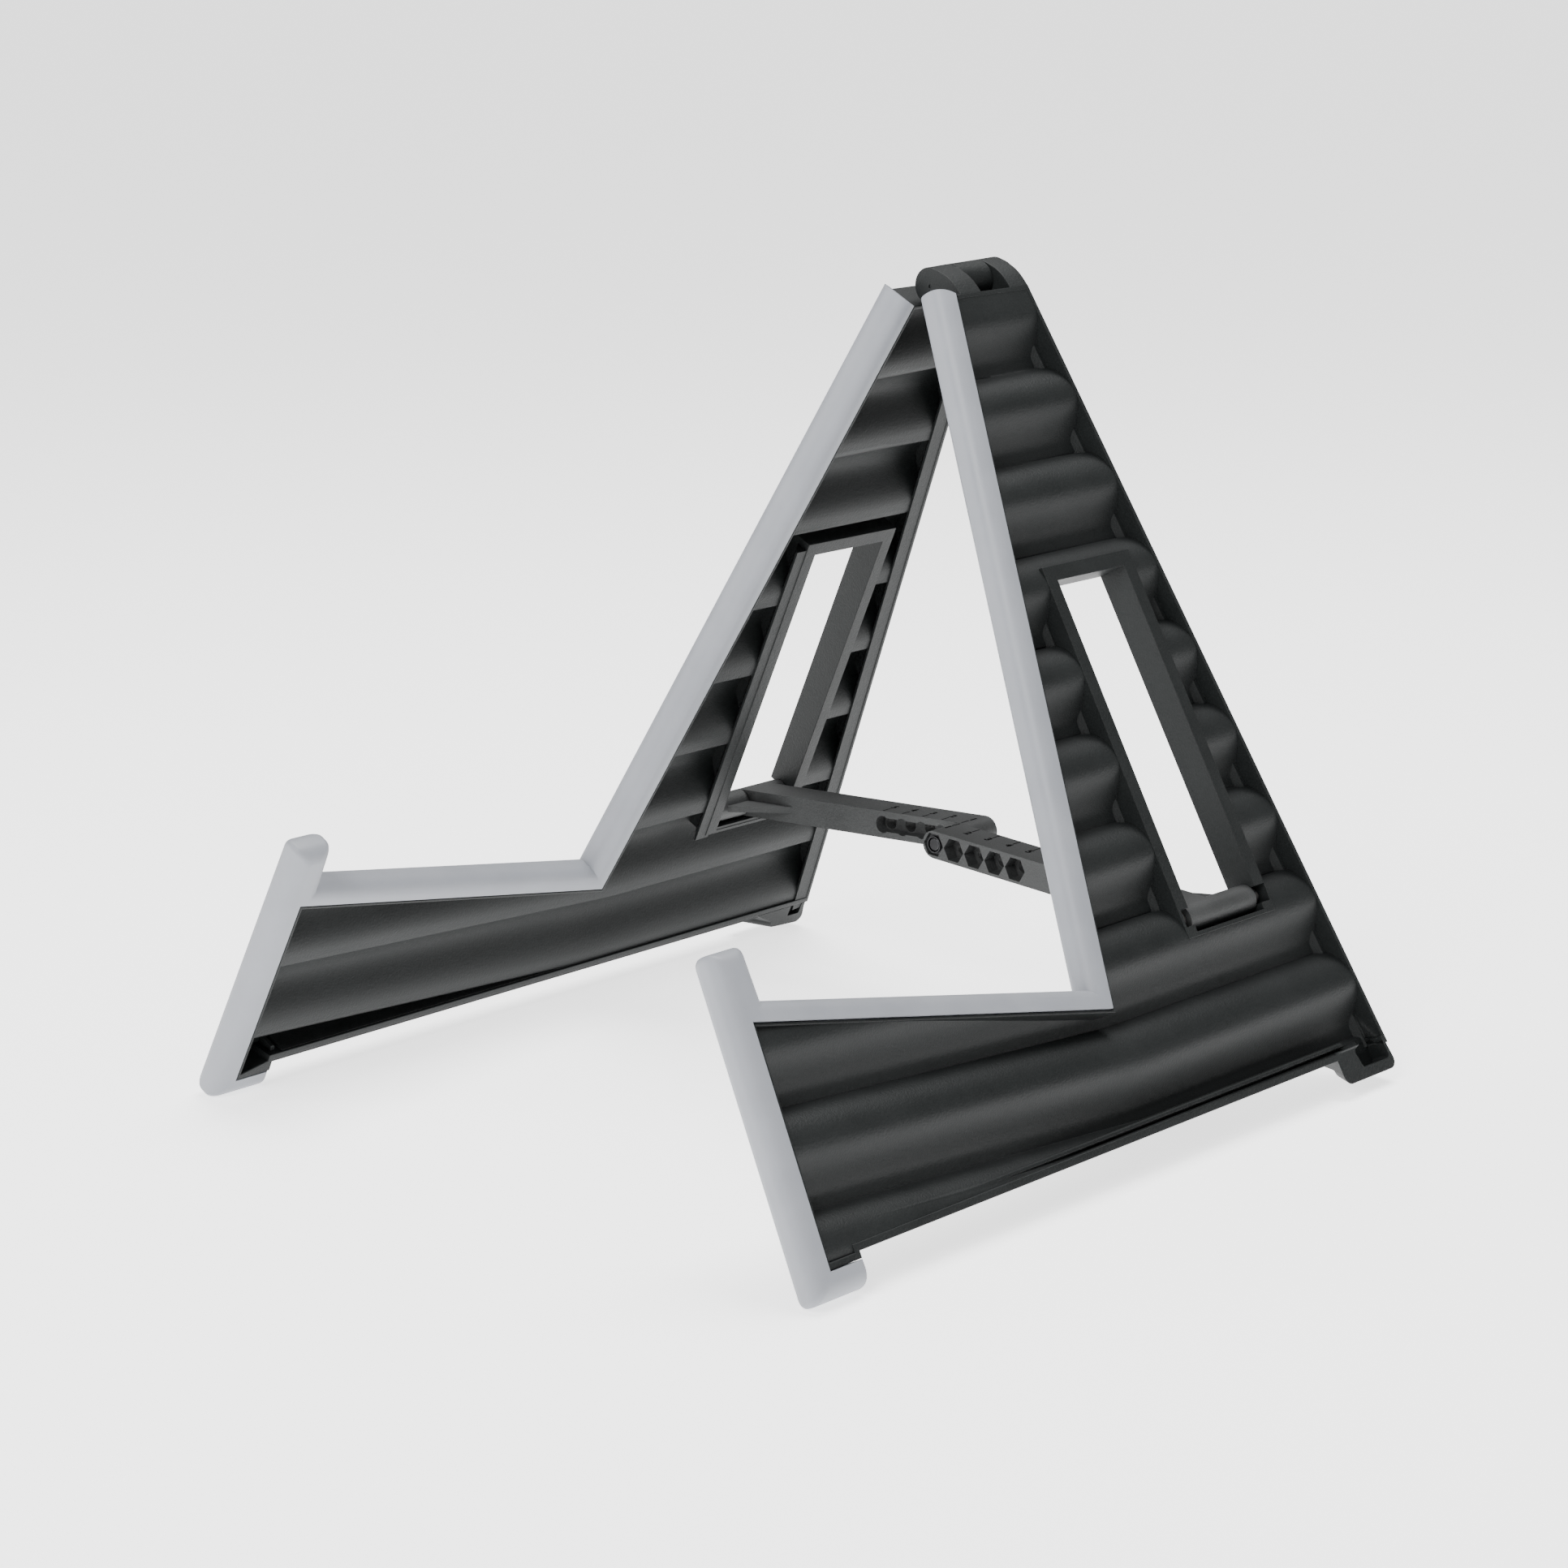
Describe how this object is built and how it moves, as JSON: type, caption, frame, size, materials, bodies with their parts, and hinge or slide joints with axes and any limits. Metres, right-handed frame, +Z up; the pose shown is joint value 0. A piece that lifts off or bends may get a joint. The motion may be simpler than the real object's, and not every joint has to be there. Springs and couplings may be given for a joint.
{
  "type": "folding instrument stand",
  "caption": "Folding A-frame floor stand with two hinged side panels, grey cushioned rests and hooks, and two bolted spreader arms.",
  "frame": {"origin": "middle of the footprint, on the floor under the open stand", "axes": "+X towards the right panel, +Y towards the back, +Z up; the hooks point to -Y"},
  "size_m": [0.3136, 0.3066, 0.2925],
  "materials": {
    "black_nylon": "satin moulded glass-fibre nylon",
    "arm_nylon": "fine-grained moulded glass-fibre nylon",
    "grey_rubber": "satin soft overmoulded elastomer",
    "bare_steel": "ground steel pin",
    "zinc_steel": "bright zinc-plated steel"
  },
  "bodies": {
    "left_frame": {"left_panel": "black_nylon", "left_edging": "grey_rubber", "hinge_pin": "bare_steel", "left_arm_pivot_pin": "bare_steel"},
    "right_frame": {"right_panel": "black_nylon", "right_edging": "grey_rubber", "right_arm_pivot_pin": "bare_steel"},
    "left_spreader": {"left_arm": "arm_nylon", "pivot_bolt": "zinc_steel"},
    "right_spreader": {"right_arm": "arm_nylon", "lock_nut": "zinc_steel", "pivot_bolt_threaded_end": "zinc_steel"}
  },
  "joints": [
    {"name": "panel_fold", "type": "hinge", "parent": "left_frame", "child": "right_frame", "pos_m": [0, 0.09014, 0.285], "axis": [0, 1, 0], "range_deg": [0, 54]},
    {"name": "left_arm_fold", "type": "hinge", "parent": "left_frame", "child": "left_spreader", "pos_m": [-0.11691, 0.09324, 0.07009], "axis": [0, -1, 0], "range_deg": [0, 56.6]},
    {"name": "right_arm_fold", "type": "hinge", "parent": "right_frame", "child": "right_spreader", "pos_m": [0.11691, 0.09324, 0.07009], "axis": [0, 1, 0], "range_deg": [0, 56.6]}
  ],
  "couplings": [
    {"joint": "left_arm_fold", "follows": "panel_fold", "ratio": 1.0476},
    {"joint": "right_arm_fold", "follows": "panel_fold", "ratio": 1.0476}
  ]
}
